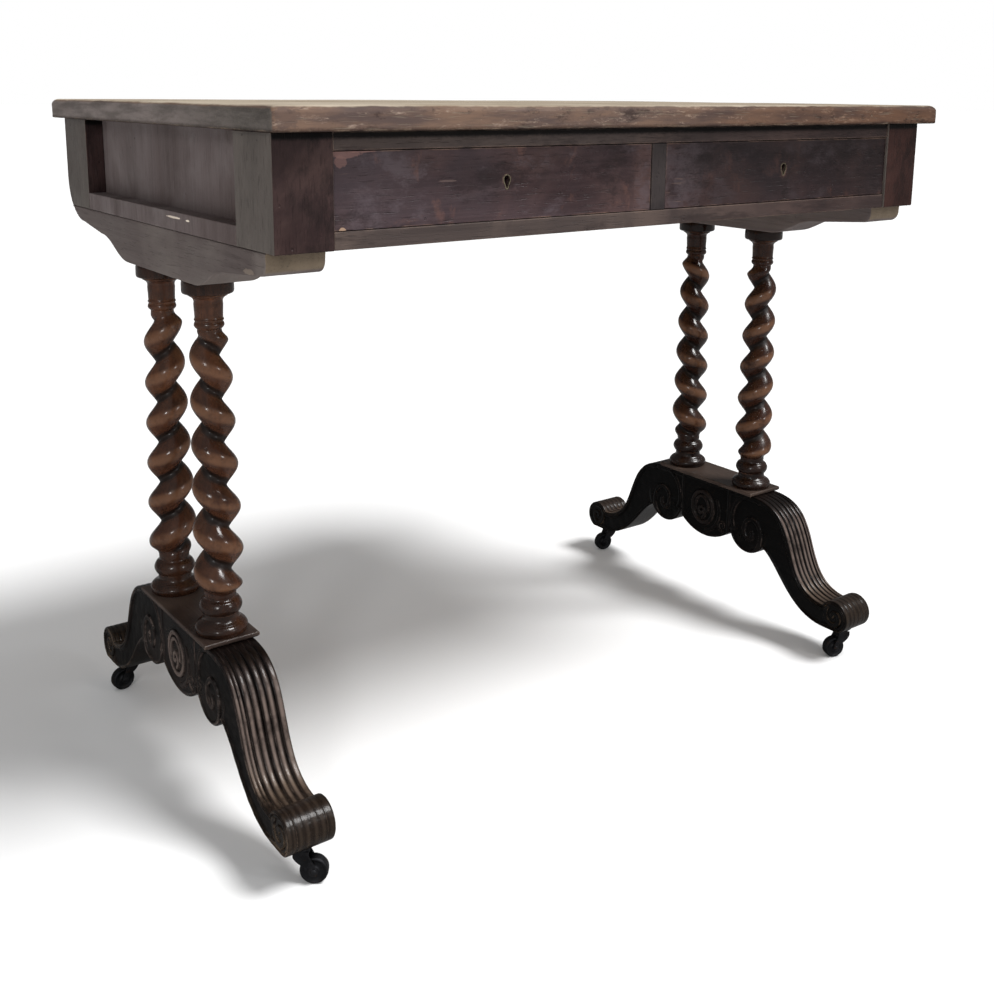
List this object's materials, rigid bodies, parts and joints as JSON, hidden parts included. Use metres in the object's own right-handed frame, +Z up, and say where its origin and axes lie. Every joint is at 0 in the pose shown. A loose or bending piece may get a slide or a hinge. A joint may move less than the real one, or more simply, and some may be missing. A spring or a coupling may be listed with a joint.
{
  "type": "writing table",
  "caption": "Writing table with frieze drawers on end supports: barley twist columns over arched bases with reeded scroll legs on swivelling castors.",
  "frame": {"origin": "on the floor, under the middle of the top board", "axes": "+X along the table to the right as seen from the drawer side, -Y towards the person who sits at the drawers, +Z up"},
  "size_m": [0.892, 0.594, 0.74],
  "materials": {
    "top_wood": "old waxed oak, pale and worn",
    "case_wood": "dark stained, worn",
    "drawer_wood": "red brown polish, worn",
    "inside_wood": "bare wood",
    "column_wood": "red brown polish, glossy",
    "base_wood": "almost black polish",
    "iron": "blackened",
    "brass": "dull, aged"
  },
  "bodies": {
    "frame": {"top_board": "top_wood", "left_base_slab": "base_wood", "left_base_centre": "base_wood", "left_front_leg": "base_wood", "left_rear_leg": "base_wood", "right_base_slab": "base_wood", "right_base_centre": "base_wood", "right_front_leg": "base_wood", "right_rear_leg": "base_wood", "front_top_rail": "case_wood", "front_bottom_rail": "case_wood", "front_muntin": "case_wood", "left_front_post": "case_wood", "left_rear_post": "case_wood", "left_end_panel": "case_wood", "left_end_rail": "case_wood", "left_apron": "case_wood", "right_front_post": "case_wood", "right_rear_post": "case_wood", "right_end_panel": "case_wood", "right_end_rail": "case_wood", "right_apron": "case_wood", "centre_runner": "inside_wood", "back_board": "inside_wood", "left_runner": "inside_wood", "left_kicker": "inside_wood", "right_runner": "inside_wood", "right_kicker": "inside_wood", "left_front_column": "column_wood", "left_front_castor_plate": "iron", "left_rear_column": "column_wood", "left_rear_castor_plate": "iron", "right_front_column": "column_wood", "right_front_castor_plate": "iron", "right_rear_column": "column_wood", "right_rear_castor_plate": "iron"},
    "left_drawer": {"left_drawer_front": "drawer_wood", "left_drawer_side_1": "inside_wood", "left_drawer_side_2": "inside_wood", "left_drawer_back": "inside_wood", "left_drawer_base": "inside_wood", "left_escutcheon": "brass", "left_lock_case": "iron"},
    "left_bolt": {"left_lock_bolt": "brass"},
    "right_drawer": {"right_drawer_front": "drawer_wood", "right_drawer_side_1": "inside_wood", "right_drawer_side_2": "inside_wood", "right_drawer_back": "inside_wood", "right_drawer_base": "inside_wood", "right_escutcheon": "brass", "right_lock_case": "iron"},
    "right_bolt": {"right_lock_bolt": "brass"},
    "left_front_fork": {"left_front_castor_fork": "iron"},
    "left_front_wheel": {"left_front_castor_wheel": "iron"},
    "left_rear_fork": {"left_rear_castor_fork": "iron"},
    "left_rear_wheel": {"left_rear_castor_wheel": "iron"},
    "right_front_fork": {"right_front_castor_fork": "iron"},
    "right_front_wheel": {"right_front_castor_wheel": "iron"},
    "right_rear_fork": {"right_rear_castor_fork": "iron"},
    "right_rear_wheel": {"right_rear_castor_wheel": "iron"}
  },
  "joints": [
    {"name": "left_drawer_slide", "type": "slide", "parent": "frame", "child": "left_drawer", "axis": [0, -1, 0], "range_m": [0, 0.36]},
    {"name": "left_bolt_slide", "type": "slide", "parent": "left_drawer", "child": "left_bolt", "axis": [0, 0, 1], "range_m": [0, 0.007]},
    {"name": "right_drawer_slide", "type": "slide", "parent": "frame", "child": "right_drawer", "axis": [0, -1, 0], "range_m": [0, 0.36]},
    {"name": "right_bolt_slide", "type": "slide", "parent": "right_drawer", "child": "right_bolt", "axis": [0, 0, 1], "range_m": [0, 0.007]},
    {"name": "left_front_castor_swivel", "type": "hinge", "parent": "frame", "child": "left_front_fork", "pos_m": [-0.4085, -0.238, 0.035], "axis": [0, 0, 1], "continuous": true},
    {"name": "left_front_wheel_spin", "type": "hinge", "parent": "left_front_fork", "child": "left_front_wheel", "pos_m": [-0.39879, -0.24505, 0.014], "axis": [0.5878, 0.809, 0], "continuous": true},
    {"name": "left_rear_castor_swivel", "type": "hinge", "parent": "frame", "child": "left_rear_fork", "pos_m": [-0.4085, 0.238, 0.035], "axis": [0, 0, 1], "continuous": true},
    {"name": "left_rear_wheel_spin", "type": "hinge", "parent": "left_rear_fork", "child": "left_rear_wheel", "pos_m": [-0.42038, 0.23633, 0.014], "axis": [0.1392, -0.9903, 0], "continuous": true},
    {"name": "right_front_castor_swivel", "type": "hinge", "parent": "frame", "child": "right_front_fork", "pos_m": [0.4085, -0.238, 0.035], "axis": [0, 0, 1], "continuous": true},
    {"name": "right_front_wheel_spin", "type": "hinge", "parent": "right_front_fork", "child": "right_front_wheel", "pos_m": [0.39722, -0.2339, 0.014], "axis": [-0.342, -0.9397, 0], "continuous": true},
    {"name": "right_rear_castor_swivel", "type": "hinge", "parent": "frame", "child": "right_rear_fork", "pos_m": [0.4085, 0.238, 0.035], "axis": [0, 0, 1], "continuous": true},
    {"name": "right_rear_wheel_spin", "type": "hinge", "parent": "right_rear_fork", "child": "right_rear_wheel", "pos_m": [0.39668, 0.24008, 0.014], "axis": [-0.1736, -0.9848, 0], "continuous": true}
  ]
}
